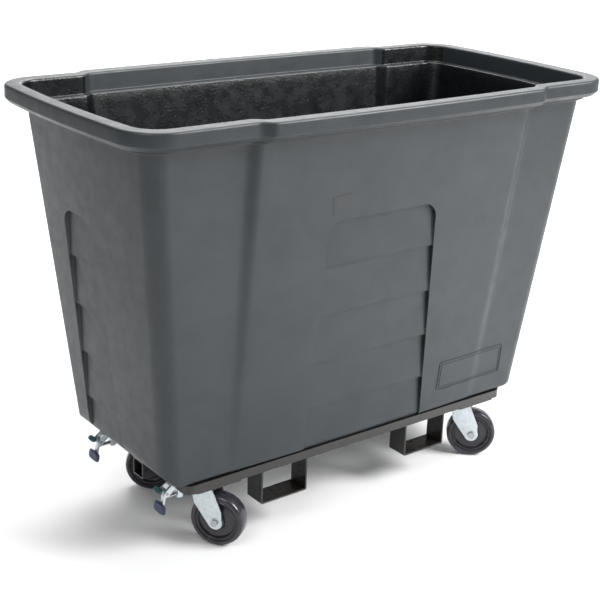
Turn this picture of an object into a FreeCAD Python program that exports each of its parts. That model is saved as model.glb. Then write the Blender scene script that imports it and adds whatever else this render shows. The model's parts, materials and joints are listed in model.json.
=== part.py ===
"""Mobile bulk waste tote: a rotationally moulded tub on a welded steel base with four swivel casters.

Frame: +Z up, origin on the floor under the centre of the tub, X along the tub's length and Y across it.
The end with the foot pedals and the tow receiver is at -X, and the "near" side is at -Y.
Lengths are in millimetres.
"""
import FreeCAD, Part
import math
import os

import Sketcher
from FreeCAD import Placement, Rotation, Vector

doc = FreeCAD.newDocument("WasteTote")

# ---------------------------------------------------------------- driving dimensions
DIMENSIONS = {
    # tub wall line: half length and half width of the outer face, at the top and at the foot of the wall
    "overall_height": 1200,
    "wall_top_half_length": 732,
    "wall_top_half_width": 326,
    "wall_foot_half_length": 640,
    "wall_foot_half_width": 249,
    "wall_top_corner": 56,
    "wall_foot_corner": 50,
    "end_bow_top": 18,
    "end_bow_foot": 8,
    "side_bow_top": 7,
    "side_bow_foot": 4,
    "panel_step_top": 22,
    "panel_step_foot": 2,
    "panel_near_left_top": 450,
    "panel_near_left_foot": 441,
    "panel_near_right_top": 490,
    "panel_near_right_foot": 440,
    "panel_far_left_top": 530,
    "panel_far_left_foot": 480,
    "panel_far_right_top": 515,
    "panel_far_right_foot": 460,
    "panel_step_run": 24,
    "wall_thickness": 7,
    "foot_round": 16,
    "end_foot_round": 90,
    # rolled rim: a double wall that stands outside the wall line
    "rim_overhang": 53,
    "rim_ledge": 9,
    "rim_inner_height": 54,
    "rim_face_height": 34,
    "rim_lip": 12,
    "rim_round": 5,
    # stepped recess in each long side and each end
    "recess_top_z": 906,
    "recess_first_step_z": 777,
    "recess_step_pitch": 141,
    "recess_steps": 5,
    "recess_depth": 10,
    "recess_step_depth": 5,
    "recess_corner": 42,
    "recess_left_top": 205,
    "recess_left_foot": 203,
    "recess_right_top": 166,
    "recess_right_foot": 231,
    "end_recess_far_top": 18,
    "end_recess_far_foot": 46,
    "end_recess_near_top": 130,
    "end_recess_near_foot": 150,
    # welded base of angle iron
    "base_length": 1164,
    "base_width": 500,
    "base_bottom": 194.5,
    "angle_leg": 25.4,
    "angle_thick": 4,
    "base_corner": 24,
    "cross_bar_offset": 395,
    "cross_bar_width": 50,
    "stirrup_offset": 262,
    "stirrup_width": 157,
    "stirrup_depth": 66,
    "stirrup_drop": 99,
    "stirrup_plate": 5,
    "stirrup_round": 5,
    "receiver_side": 50.8,
    "receiver_wall": 4,
    "receiver_length": 170,
    "gusset_thick": 4,
    "gusset_length": 150,
    "gusset_width": 140,
    "tub_bolt_radius": 4,
    "tub_bolt_inset": 60,
    "tub_bolt_head_radius": 12,
    "tub_bolt_head_height": 3,
    "tub_nut_hex": 13,
    "tub_nut_height": 6.5,
    # swivel casters, 6 x 2 inch wheel
    "caster_offset_x": 477,
    "caster_offset_y": 180,
    "caster_trail": 40,
    "caster_height": 190.5,
    "plate_length": 114.3,
    "plate_width": 101.6,
    "plate_thick": 6.4,
    "plate_hole_x": 92.1,
    "plate_hole_y": 66.7,
    "plate_hole_radius": 5.5,
    "plate_bolt_radius": 4.76,
    "plate_bolt_hex": 14.3,
    "plate_bolt_head_height": 6,
    "plate_nut_height": 8,
    "plate_corner": 8,
    "raceway_radius": 40,
    "raceway_height": 7,
    "kingpin_radius": 9.5,
    "fork_gap": 57,
    "fork_plate": 5,
    "fork_top_z": 176,
    "fork_top_front": 31,
    "fork_top_back": 29,
    "fork_end_radius": 21,
    "fork_front_waist": 45,
    "fork_front_waist_z": 140,
    "fork_back_waist": 20,
    "fork_back_waist_z": 125,
    "fork_edge_round": 4,
    "wheel_radius": 76.2,
    "wheel_width": 50.8,
    "hub_radius": 27,
    "hub_width": 55,
    "bearing_radius": 15,
    "sleeve_radius": 9.5,
    "axle_radius": 6.3,
    "axle_hole_radius": 6.35,
    "axle_head_radius": 11,
    "axle_head_height": 7,
    "axle_nut_hex": 19,
    "axle_nut_height": 10,
    # foot pedals at the left end
    "pedal_pivot_x": 607,
    "pedal_pivot_z": 184,
    "pedal_pin_radius": 4,
    "pedal_pin_hole": 4.05,
    "bracket_gap": 24,
    "bracket_plate": 3,
    "bracket_foot_height": 24,
    "pedal_hub_radius": 9,
    "pedal_lever_width": 16,
    "pedal_arm_width": 12,
    "pad_thick": 8,
    "foot_pad_length": 58,
    "foot_pad_height": 30,
    "foot_pad_out": 15.02,
    "foot_pad_rise": -42,
    "foot_pad_lean": 8.8,
    "release_pad_length": 34,
    "release_pad_height": 15,
    "release_pad_out": 19.78,
    "release_pad_rise": 12.46,
    "release_pad_lean": 36.87,
    "lock_radius": 5,
    "lock_guide_hole": 5.08,
    "lock_travel": 4.8,
    "lock_stop_radius": 50.5,
    "lock_z": 169,
    "lock_guide_width": 18,
    "lock_guide_length": 16,
    "lock_guide_offset": 11,
}
sheet = doc.addObject("Spreadsheet::Sheet", "dims")
for row, (alias, number) in enumerate(DIMENSIONS.items(), start=1):
    sheet.set(f"A{row}", alias)
    sheet.set(f"B{row}", str(number))
    sheet.setAlias(f"B{row}", alias)
doc.recompute()


def dim(alias):
    """Value of a driving dimension."""
    return float(sheet.get(alias))


def expr(text):
    """Expression with every driving dimension written as a cell of the sheet."""
    for alias in sorted(DIMENSIONS, key=len, reverse=True):
        text = text.replace(f"[{alias}]", f"dims.{alias}")
    return text


# ---------------------------------------------------------------- helpers for parametric bodies
SUBPARTS = []


def new_body(label, placement=Placement()):
    body = doc.addObject("PartDesign::Body", label)
    body.Label = label
    body.Placement = placement
    SUBPARTS.append(body)
    return body


def bind(feature, **properties):
    for name, text in properties.items():
        feature.setExpression(name.replace("__", "."), expr(text))


def bind_position(feature, at):
    for axis, text in zip("xyz", at):
        feature.setExpression(f"Placement.Base.{axis}", expr(text))


def add_box(body, size, at, cut=False):
    """Box with its low corner at `at`; sizes and corner are expressions."""
    kind = "PartDesign::SubtractiveBox" if cut else "PartDesign::AdditiveBox"
    feature = body.newObject(kind, "Slot" if cut else "Block")
    bind(feature, Length=size[0], Width=size[1], Height=size[2])
    bind_position(feature, at)
    return feature


AXIS_TURN = {
    "x": Rotation(Vector(0, 1, 0), 90),
    "y": Rotation(Vector(1, 0, 0), -90),
    "z": Rotation(),
}


def add_cylinder(body, radius, height, at, axis="z", cut=False):
    """Cylinder that starts at `at` and runs along +axis; sizes and start are expressions."""
    kind = "PartDesign::SubtractiveCylinder" if cut else "PartDesign::AdditiveCylinder"
    feature = body.newObject(kind, "Bore" if cut else "Round")
    feature.Placement = Placement(Vector(), AXIS_TURN[axis])
    bind(feature, Radius=radius, Height=height)
    bind_position(feature, at)
    return feature


def origin_plane(body, role):
    return next(item for item in body.Origin.OriginFeatures if item.Role == role)


def polygon_sketch(body, points, role, offset="0"):
    """Closed polygon whose every corner is dimensioned from the sketch's origin by expressions."""
    sketch = body.newObject("Sketcher::SketchObject", "Profile")
    sketch.AttachmentSupport = (origin_plane(body, role), [""])
    sketch.MapMode = "FlatFace"
    sketch.setExpression("AttachmentOffset.Base.z", expr(offset))
    count = len(points)
    values = [[evaluate(text) for text in point] for point in points]
    for index in range(count):
        start, end = values[index], values[(index + 1) % count]
        sketch.addGeometry(Part.LineSegment(Vector(*start, 0), Vector(*end, 0)), False)
    for index in range(count):
        sketch.addConstraint(Sketcher.Constraint("Coincident", index, 2, (index + 1) % count, 1))
    for index, point in enumerate(points):
        for kind, text, value in zip(("DistanceX", "DistanceY"), point, values[index]):
            number = sketch.addConstraint(Sketcher.Constraint(kind, -1, 1, index, 1, value))
            sketch.setExpression(f"Constraints[{number}]", expr(text))
    return sketch


def evaluate(text):
    """Number that an expression gives now."""
    return float(sheet.evalExpression(expr(text).replace("dims.", "")))


def add_pad(body, sketch, length, midplane=False):
    pad = body.newObject("PartDesign::Pad", "Pad")
    pad.Profile = sketch
    bind(pad, Length=length)
    pad.Midplane = midplane
    return pad


def round_edges(body, feature, radius, wanted):
    """Fillet on the edges of `feature` that `wanted` picks."""
    doc.recompute()
    names = [f"Edge{n}" for n, edge in enumerate(feature.Shape.Edges, start=1) if wanted(edge)]
    fillet = body.newObject("PartDesign::Fillet", "Fillet")
    fillet.Base = (feature, names)
    bind(fillet, Radius=radius)
    return fillet


def runs_along(axis):
    """Test for straight edges that are parallel to an axis."""
    def test(edge):
        if edge.Curve.TypeId != "Part::GeomLine":
            return False
        direction = (edge.Vertexes[1].Point - edge.Vertexes[0].Point).normalize()
        return abs(direction.dot(axis)) > 0.999
    return test


X_AXIS, Y_AXIS, Z_AXIS = Vector(1, 0, 0), Vector(0, 1, 0), Vector(0, 0, 1)


def group_of(label, solids, placement=Placement()):
    """Node that holds several separate solids, such as a set of equal fasteners."""
    feature = doc.addObject("Part::Feature", label)
    feature.Label = label
    feature.Shape = Part.makeCompound(solids)
    feature.Placement = placement
    SUBPARTS.append(feature)
    return feature


# ---------------------------------------------------------------- tub
# where the middle panel of each long side starts and ends, by the signs of X and Y
PANEL_ENDS = {
    (-1, -1): "panel_near_left",
    (1, -1): "panel_near_right",
    (-1, 1): "panel_far_left",
    (1, 1): "panel_far_right",
}


def wall_level(z):
    """Shape of the wall line at height z: it changes evenly from the foot of the wall to the rim."""
    foot = dim("base_bottom") + dim("angle_leg")
    share = min(max((z - foot) / (rim_floor() - foot), 0), 1)

    def between(top, foot_value):
        return dim(foot_value) + (dim(top) - dim(foot_value)) * share
    level = {name: between(f"{name}_top", f"{name}_foot") for name in PANEL_ENDS.values()}
    level["half_length"] = between("wall_top_half_length", "wall_foot_half_length")
    level["half_width"] = between("wall_top_half_width", "wall_foot_half_width")
    level["corner"] = between("wall_top_corner", "wall_foot_corner")
    level["end_bow"] = between("end_bow_top", "end_bow_foot")
    level["side_bow"] = between("side_bow_top", "side_bow_foot")
    level["step"] = between("panel_step_top", "panel_step_foot")
    return level


def rim_floor():
    return dim("overall_height") - dim("rim_inner_height")


def outline(z, offset=0.0, level_z=None):
    """Closed wire of the tub's wall line at height z, moved outwards by offset.

    Each long side steps out to a bowed middle panel; the ends bow gently; the corners are arcs.
    """
    level = wall_level(z if level_z is None else level_z)
    half_length = level["half_length"] + offset
    half_width = level["half_width"] + offset
    corner = max(level["corner"] + offset, 2.0)
    bow = level["end_bow"]
    end_radius = (half_width ** 2 + bow ** 2) / (2 * bow)
    end_centre = half_length + bow - end_radius
    corner_y = half_width - corner
    corner_x = end_centre + math.sqrt((end_radius - corner) ** 2 - corner_y ** 2)
    turn = math.atan2(corner_y, corner_x - end_centre)
    middle = (turn + math.pi / 2) / 2
    out = half_width + level["step"]
    run = dim("panel_step_run")

    def at(x, y, flip_x, flip_y):
        return Vector(x * flip_x, y * flip_y, z)

    def quarter(flip_x, flip_y):
        """Edges of one quarter from the end's corner to the start of the middle panel."""
        arc_start = at(end_centre + end_radius * math.cos(turn), end_radius * math.sin(turn), flip_x, flip_y)
        arc_mid = at(corner_x + corner * math.cos(middle), corner_y + corner * math.sin(middle),
                     flip_x, flip_y)
        arc_end = at(corner_x, half_width, flip_x, flip_y)
        panel = level[PANEL_ENDS[flip_x, flip_y]]
        slope = 2 * level["side_bow"] / panel
        jog_start = at(panel + run, half_width, flip_x, flip_y)
        jog_end = at(panel - run, out, flip_x, flip_y)
        jog = Part.BezierCurve()
        jog.setPoles([jog_start, at(panel, half_width, flip_x, flip_y),
                      at(panel, out - slope * run, flip_x, flip_y), jog_end])
        return [Part.Arc(arc_start, arc_mid, arc_end).toShape(),
                Part.LineSegment(arc_end, jog_start).toShape(),
                jog.toBSpline().toShape()]

    def end_arc(flip_x):
        low = at(end_centre + end_radius * math.cos(turn), -end_radius * math.sin(turn), flip_x, 1)
        high = at(end_centre + end_radius * math.cos(turn), end_radius * math.sin(turn), flip_x, 1)
        return Part.Arc(low, at(half_length + bow, 0, flip_x, 1), high).toShape()

    def side_arc(flip_y):
        right = at(level[PANEL_ENDS[1, flip_y]] - run, out, 1, flip_y)
        left = at(level[PANEL_ENDS[-1, flip_y]] - run, out, -1, flip_y)
        return Part.Arc(right, at(0, out + level["side_bow"], 1, flip_y), left).toShape()

    edges = [end_arc(1)] + quarter(1, 1) + [side_arc(1)] + quarter(-1, 1)
    edges += [end_arc(-1)] + quarter(-1, -1) + [side_arc(-1)] + quarter(1, -1)
    return Part.Wire(Part.__sortEdges__(edges))


def loft(levels):
    """Solid through outlines given as (z, offset) or (z, offset, level of the wall line)."""
    return Part.makeLoft([outline(*level) for level in levels], True, True)


def recess_face(edges, top, bottom):
    """Upright panel outline in the XZ plane: straight sides and rounded top corners.

    edges holds the reach of the left and right sides at the top and at the foot.
    """
    left_top, left_foot, right_top, right_foot = edges
    corner = dim("recess_corner")
    head_left, head_right = Vector(-left_top, 0, top), Vector(right_top, 0, top)
    foot_left, foot_right = Vector(-left_foot, 0, bottom), Vector(right_foot, 0, bottom)

    def rounded(head, foot, inwards):
        """Points where the arc at a top corner starts and ends, and its middle."""
        down = head + (foot - head).normalize() * corner
        across = head + Vector(inwards * corner, 0, 0)
        return down, head + Vector(inwards, 0, -1) * corner * (1 - math.sqrt(0.5)), across
    left_down, left_mid, left_across = rounded(head_left, foot_left, 1)
    right_down, right_mid, right_across = rounded(head_right, foot_right, -1)
    sides = [Part.LineSegment(foot_left, left_down), Part.Arc(left_down, left_mid, left_across),
             Part.LineSegment(left_across, right_across), Part.Arc(right_across, right_mid, right_down),
             Part.LineSegment(right_down, foot_right), Part.LineSegment(foot_right, foot_left)]
    return Part.Face(Part.Wire([side.toShape() for side in sides]))


def recess_cutter(edges, wall_at, grow=0.0):
    """Space outside a stepped recess on the -Y side: a stack of boards that overlap like cladding.

    wall_at(z) is the distance of the wall's outer face from the middle plane.
    """
    bottom = dim("base_bottom") + dim("angle_leg") - grow
    steps = [dim("recess_first_step_z") - step * dim("recess_step_pitch")
             for step in range(int(dim("recess_steps")))]
    heads = [dim("recess_top_z") + grow] + steps[:-1]
    feet = steps[:-1] + [bottom]
    depth = dim("recess_depth") + grow
    profile = []
    for head, foot in zip(heads, feet):
        profile.append(Vector(0, -(wall_at(head) - depth), head))
        profile.append(Vector(0, -(wall_at(foot) - depth + dim("recess_step_depth")), foot))
    far = -(wall_at(heads[0]) + 200)
    profile += [Vector(0, far, bottom), Vector(0, far, heads[0])]
    wide = max(edges) + 60
    stack = Part.Face(Part.makePolygon(profile + profile[:1])).extrude(Vector(2 * wide, 0, 0))
    stack.translate(Vector(-wide, 0, 0))
    face = recess_face([edge + grow for edge in edges], heads[0], bottom)
    return stack.common(face.extrude(Vector(0, 2 * far, 0)))


def side_wall_at(z):
    level = wall_level(z)
    return level["half_width"] + level["step"] + level["side_bow"] * 0.9


def end_wall_at(z):
    level = wall_level(z)
    return level["half_length"] + level["end_bow"] * 0.9


def recess_cutters(grow=0.0):
    """The four recesses: one in each long side and one in each end."""
    side_edges = [dim(f"recess_{name}") for name in ("left_top", "left_foot", "right_top", "right_foot")]
    end_edges = [dim(f"end_recess_{name}") for name in ("far_top", "far_foot", "near_top", "near_foot")]
    side = recess_cutter(side_edges, side_wall_at, grow)
    end = recess_cutter(end_edges, end_wall_at, grow)
    cutters = []
    for solid, turns in ((side, (0, 180)), (end, (90, -90))):
        for turn in turns:
            copy = solid.copy()
            copy.rotate(Vector(), Z_AXIS, turn)
            cutters.append(copy)
    return cutters


def left_foot_cutter(grow=0.0):
    """Space outside the large round between the left end wall and the floor; grow moves the round inwards."""
    radius = dim("end_foot_round")
    floor = dim("base_bottom") + dim("angle_leg")
    level = wall_level(floor + radius)
    centre_x = radius - level["half_length"] - level["end_bow"]
    width = 2 * dim("wall_top_half_width")
    block = Part.makeBox(2 * radius, width, 2 * radius,
                         Vector(centre_x - 2 * radius, -width / 2, floor - radius))
    rod = Part.makeCylinder(radius - grow, width, Vector(centre_x, -width / 2, floor + radius), Y_AXIS)
    return block.cut(rod)


def build_tub():
    """Open tub with tapered walls, recessed stepped panels and a rolled, down-turned rim."""
    top = dim("overall_height")
    floor = dim("base_bottom") + dim("angle_leg")
    ledge = rim_floor()
    thick = dim("wall_thickness")
    edge = dim("rim_round")
    face_foot = top - dim("rim_face_height")
    lip_foot = face_foot - dim("rim_lip")
    rim_out = dim("rim_overhang")
    rim_in = dim("rim_ledge")

    wall = loft([(floor, -dim("foot_round")), (floor + dim("foot_round"), 0), (ledge, 0)])
    band = loft([(ledge - thick, rim_in + thick, ledge), (top - edge, rim_in + thick, ledge)])
    crown = loft([(top - thick - edge, rim_out, ledge), (top - edge, rim_out, ledge),
                  (top, rim_out - edge, ledge)])
    flange = loft([(lip_foot, rim_out - dim("rim_lip"), ledge), (face_foot, rim_out, ledge),
                   (top - edge, rim_out, ledge)])
    gutter = loft([(lip_foot, rim_out - dim("rim_lip") - thick, ledge), (face_foot, rim_out - thick, ledge),
                   (top - thick - edge, rim_out - thick, ledge)])
    flange = flange.cut(gutter)
    cavity = loft([(floor + thick, -dim("foot_round") - thick), (floor + thick + dim("foot_round"), -thick),
                   (ledge, -thick)])
    mouth = loft([(ledge, rim_in, ledge), (top - edge, rim_in, ledge), (top, rim_in + edge, ledge)])
    for cutter in recess_cutters():
        wall = wall.cut(cutter)
    for cutter in recess_cutters(grow=thick):
        cavity = cavity.cut(cutter)
    wall = wall.cut(left_foot_cutter())
    cavity = cavity.cut(left_foot_cutter(grow=thick))
    tub = wall.fuse([band, crown, flange]).removeSplitter()
    tub = tub.cut(mouth).cut(cavity)
    bolts = [Part.makeCylinder(dim("tub_bolt_radius"), 3 * thick, point - Vector(0, 0, thick))
             for point in tub_bolt_points()]
    tub = tub.cut(bolts)
    feature = doc.addObject("Part::Feature", "tub_shell")
    feature.Label = "tub_shell"
    feature.Shape = tub.Solids[0] if len(tub.Solids) == 1 else tub
    SUBPARTS.append(feature)


def tub_bolt_points():
    """Bolts through the tub's floor into the top flange of each cross bar, four in each."""
    floor = dim("base_bottom") + dim("angle_leg")
    reach = dim("base_width") / 2 - dim("tub_bolt_inset")
    return [Vector(x, y, floor) for x in (-dim("cross_bar_offset"), dim("cross_bar_offset"))
            for y in (-reach, -reach / 3, reach / 3, reach)]


# ---------------------------------------------------------------- welded base
def build_side_rails():
    """Straight angle irons under the tub's long edges, flange inwards at the top."""
    for name, side in (("near", -1), ("far", 1)):
        body = new_body(f"side_rail_{name}")
        edge = f"{side} * [base_width] / 2"
        inner = f"{side} * ([base_width] / 2 - [angle_thick])"
        flange = f"{side} * ([base_width] / 2 - [angle_leg])"
        low = "[base_bottom]"
        under = "[base_bottom] + [angle_leg] - [angle_thick]"
        high = "[base_bottom] + [angle_leg]"
        profile = [(edge, low), (edge, high), (flange, high), (flange, under), (inner, under), (inner, low)]
        sketch = polygon_sketch(body, profile, "YZ_Plane")
        add_pad(body, sketch, "[base_length] - 2 * [angle_leg]", midplane=True)


def build_end_rails():
    """Angle irons across the ends, rounded where they meet the side rails, flange inwards at the top."""
    for name, turn in (("left", 180), ("right", 0)):
        body = new_body(f"end_rail_{name}", Placement(Vector(), Rotation(Z_AXIS, turn)))
        inner_x = "[base_length] / 2 - [angle_leg]"
        add_box(body, ("[angle_leg]", "[base_width]", "[angle_leg]"),
                (inner_x, "-[base_width] / 2", "[base_bottom]"))
        under = add_box(body, ("[angle_leg] - [angle_thick]", "[base_width] - 2 * [angle_thick]",
                               "[angle_leg] - [angle_thick]"),
                        (inner_x, "-[base_width] / 2 + [angle_thick]", "[base_bottom]"), cut=True)

        def upright_at(distance_x, distance_y):
            """Test for the upright edges at a distance in from the outer faces."""
            def test(edge):
                x, y = edge.Vertexes[0].X, abs(edge.Vertexes[0].Y)
                return (runs_along(Z_AXIS)(edge) and abs(x - dim("base_length") / 2 + distance_x) < 0.1
                        and abs(y - dim("base_width") / 2 + distance_y) < 0.1)
            return test
        thick = dim("angle_thick")
        inside = round_edges(body, under, "[base_corner] - [angle_thick]", upright_at(thick, thick))
        round_edges(body, inside, "[base_corner]", upright_at(0, 0))


def build_cross_bars():
    """Channels across the base, which carry the tub's floor and take its bolts."""
    for name, side in (("left", -1), ("right", 1)):
        body = new_body(f"cross_bar_{name}",
                        Placement(Vector(side * dim("cross_bar_offset"), 0, 0), Rotation()))
        add_box(body, ("[cross_bar_width]", "[base_width] - 2 * [angle_leg]", "[angle_leg]"),
                ("-[cross_bar_width] / 2", "-[base_width] / 2 + [angle_leg]", "[base_bottom]"))
        add_box(body, ("[cross_bar_width] - 2 * [angle_thick]", "[base_width] - 2 * [angle_leg]",
                       "[angle_leg] - [angle_thick]"),
                ("-[cross_bar_width] / 2 + [angle_thick]", "-[base_width] / 2 + [angle_leg]", "[base_bottom]"),
                cut=True)
        reach = "([base_width] / 2 - [tub_bolt_inset])"
        for y in (f"-{reach}", f"-{reach} / 3", f"{reach} / 3", reach):
            add_cylinder(body, "[tub_bolt_radius]", "2 * [angle_thick]",
                         ("0", y, "[base_bottom] + [angle_leg] - 1.5 * [angle_thick]"), cut=True)


def build_stirrups():
    """Flat bars bent to a U and welded under the side rails, where fork tines pass through."""
    for side_name, side in (("near", -1), ("far", 1)):
        for end_name, end in (("left", -1), ("right", 1)):
            body = new_body(f"fork_stirrup_{side_name}_{end_name}",
                            Placement(Vector(end * dim("stirrup_offset"), 0, 0), Rotation()))
            y = "-[base_width] / 2" if side < 0 else "[base_width] / 2 - [stirrup_depth]"
            block = add_box(body, ("[stirrup_width]", "[stirrup_depth]", "[stirrup_drop]"),
                            ("-[stirrup_width] / 2", y, "[base_bottom] - [stirrup_drop]"))

            def lower_edge(edge):
                return runs_along(Y_AXIS)(edge) and edge.Vertexes[0].Z < dim("base_bottom") - 1
            round_edges(body, block, "[stirrup_round]", lower_edge)
            add_box(body, ("[stirrup_width] - 2 * [stirrup_plate]", "[stirrup_depth]", "[stirrup_drop]"),
                    ("-[stirrup_width] / 2 + [stirrup_plate]", y,
                     "[base_bottom] - [stirrup_drop] + [stirrup_plate]"), cut=True)


def build_receiver():
    """Square tube under the middle of the left end rail, open at its outer end."""
    body = new_body("tow_receiver")
    low = "[base_bottom] - [receiver_side]"
    block = add_box(body, ("[receiver_length]", "[receiver_side]", "[receiver_side]"),
                    ("-[base_length] / 2", "-[receiver_side] / 2", low))
    round_edges(body, block, "[receiver_wall]", runs_along(X_AXIS))
    bore = "[receiver_side] - 2 * [receiver_wall]"
    add_box(body, ("[receiver_length]", bore, bore),
            ("-[base_length] / 2", f"-({bore}) / 2", f"{low} + [receiver_wall]"), cut=True)


CORNERS = {
    "near_left": (-1, -1),
    "near_right": (1, -1),
    "far_left": (-1, 1),
    "far_right": (1, 1),
}


def pivot(corner):
    """Point on the floor under a caster's swivel axis."""
    along, across = CORNERS[corner]
    return Vector(along * dim("caster_offset_x"), across * dim("caster_offset_y"), 0)


def plate_hole_points():
    return [(f"{i} * [plate_hole_x] / 2", f"{j} * [plate_hole_y] / 2") for i in (-1, 1) for j in (-1, 1)]


def build_gussets():
    """Corner plates welded under the base, which the caster plates bolt to."""
    for corner, (along, across) in CORNERS.items():
        body = new_body(f"corner_plate_{corner}", Placement(pivot(corner), Rotation()))
        outer = f"([base_width] / 2 - [caster_offset_y])"
        y = f"-{outer}" if across < 0 else f"{outer} - [gusset_width]"
        block = add_box(body, ("[gusset_length]", "[gusset_width]", "[gusset_thick]"),
                        ("-[gusset_length] / 2", y, "[caster_height]"))
        round_edges(body, block, "3 * [gusset_thick]", runs_along(Z_AXIS))
        for x_text, y_text in plate_hole_points():
            add_cylinder(body, "[plate_hole_radius]", "3 * [gusset_thick]",
                         (x_text, y_text, "[caster_height] - [gusset_thick]"), cut=True)


# ---------------------------------------------------------------- casters
# swivel angle of each caster as the tote stands: the wheel trails this way from the swivel axis
SWIVEL_ANGLE = {"near_left": -55, "near_right": -41, "far_left": -35, "far_right": -28}


def swivel_place(corner):
    return Placement(pivot(corner), Rotation(Z_AXIS, SWIVEL_ANGLE[corner]))


def build_caster_plate(corner):
    """Fixed top plate with the upper raceway pressed in its underside."""
    body = new_body(f"caster_plate_{corner}", Placement(pivot(corner), Rotation()))
    low = "[caster_height] - [plate_thick]"
    block = add_box(body, ("[plate_length]", "[plate_width]", "[plate_thick]"),
                    ("-[plate_length] / 2", "-[plate_width] / 2", low))
    round_edges(body, block, "[plate_corner]", runs_along(Z_AXIS))
    add_cylinder(body, "[raceway_radius]", "[raceway_height]", ("0", "0", f"{low} - [raceway_height]"))
    add_cylinder(body, "[kingpin_radius]", "40", ("0", "0", f"{low} - 20"), cut=True)
    for x_text, y_text in plate_hole_points():
        add_cylinder(body, "[plate_hole_radius]", "40", (x_text, y_text, f"{low} - 20"), cut=True)


def build_kingpins():
    """Pins that hold each fork to its plate: pressed in the plate, free in the fork."""
    solids = []
    top = dim("caster_height")
    head_top = dim("fork_top_z") - dim("fork_plate") - 0.4
    for corner in CORNERS:
        shank = Part.makeCylinder(dim("kingpin_radius"), top - head_top + 1,
                                  pivot(corner) + Vector(0, 0, head_top - 1))
        head = Part.makeCylinder(dim("kingpin_radius") * 1.6, 7, pivot(corner) + Vector(0, 0, head_top - 7))
        solids.append(shank.fuse(head).removeSplitter())
    group_of("kingpins", solids)


def build_fork(corner):
    """Fork of the swivel section: a raceway disc, a top plate and two legs down to the axle."""
    body = new_body(f"fork_{corner}", swivel_place(corner))
    top = "[fork_top_z]"
    half = "([fork_gap] / 2 + [fork_plate])"
    axle_z = "[wheel_radius]"
    leg = [("-[fork_top_back]", top), ("-[fork_back_waist]", "[fork_back_waist_z]"),
           ("[caster_trail] - [fork_end_radius] * 0.82", f"{axle_z} - [fork_end_radius] * 0.57"),
           ("[caster_trail] - [fork_end_radius] * 0.3", f"{axle_z} - [fork_end_radius] * 0.95"),
           ("[caster_trail] + [fork_end_radius] * 0.35", f"{axle_z} - [fork_end_radius] * 0.94"),
           ("[caster_trail] + [fork_end_radius] * 0.85", f"{axle_z} - [fork_end_radius] * 0.53"),
           ("[caster_trail] + [fork_end_radius]", f"{axle_z}"),
           ("[caster_trail] + [fork_end_radius] * 0.85", f"{axle_z} + [fork_end_radius] * 1.2"),
           ("[fork_front_waist]", "[fork_front_waist_z]"), ("[fork_top_front]", top)]
    sketch = polygon_sketch(body, leg, "XZ_Plane")
    pad = add_pad(body, sketch, f"2 * {half}", midplane=True)
    doc.recompute()
    round_edges(body, pad, "[fork_edge_round]", lambda edge: runs_along(Y_AXIS)(edge)
                and edge.Vertexes[0].Z < dim("fork_top_z") - 1)
    doc.recompute()
    add_box(body, ("200", "[fork_gap]", "200"),
            ("-100", "-[fork_gap] / 2", f"{top} - [fork_plate] - 200"), cut=True)
    add_cylinder(body, "[raceway_radius] + 3", "[fork_plate]", ("0", "0", f"{top} - [fork_plate]"))
    add_cylinder(body, "[kingpin_radius] + 0.08", "60", ("0", "0", f"{top} - 30"), cut=True)
    add_cylinder(body, "[axle_hole_radius]", f"4 * {half}", ("[caster_trail]", f"-2 * {half}", axle_z), axis="y",
                 cut=True)


def hexagon_prism(across_flats, height, centre, axis):
    """Hexagon prism from centre along an axis."""
    reach = across_flats / math.sqrt(3)
    turn = Rotation(Z_AXIS, axis)
    points = [turn.multVec(Vector(reach * math.cos(a), reach * math.sin(a), 0))
              for a in (math.pi / 3 * k for k in range(7))]
    prism = Part.Face(Part.makePolygon(points)).extrude(axis * height)
    prism.translate(centre)
    return prism


def build_axle(corner):
    """Axle bolt with its nut, and the spacer sleeve that the wheel's bearing runs on."""
    half = dim("fork_gap") / 2 + dim("fork_plate")
    centre = Vector(dim("caster_trail"), 0, dim("wheel_radius"))
    body = new_body(f"axle_bolt_{corner}", swivel_place(corner))
    add_cylinder(body, "[axle_radius]", "[fork_gap] + 2 * [fork_plate] + [axle_nut_height] + 4",
                 ("[caster_trail]", "-[fork_gap] / 2 - [fork_plate] - 1", "[wheel_radius]"), axis="y")
    head = [(f"[caster_trail] + {math.cos(a):.6f} * [axle_head_radius]",
             f"[wheel_radius] + {math.sin(a):.6f} * [axle_head_radius]")
            for a in (math.pi / 3 * k for k in range(6))]
    sketch = polygon_sketch(body, head, "XZ_Plane", offset="[fork_gap] / 2 + [fork_plate]")
    add_pad(body, sketch, "[axle_head_height]")
    nut = hexagon_prism(dim("axle_nut_hex"), dim("axle_nut_height"), centre + Vector(0, half, 0), Y_AXIS)
    bore = Part.makeCylinder(dim("axle_radius"), 2 * half, centre, Y_AXIS)
    group_of(f"axle_nut_{corner}", [nut.cut(bore)], swivel_place(corner))
    sleeve = new_body(f"axle_sleeve_{corner}", swivel_place(corner))
    add_cylinder(sleeve, "[sleeve_radius]", "[fork_gap]",
                 ("[caster_trail]", "-[fork_gap] / 2", "[wheel_radius]"), axis="y")
    add_cylinder(sleeve, "[axle_radius]", "2 * [fork_gap]",
                 ("[caster_trail]", "-[fork_gap]", "[wheel_radius]"), axis="y", cut=True)


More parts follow.
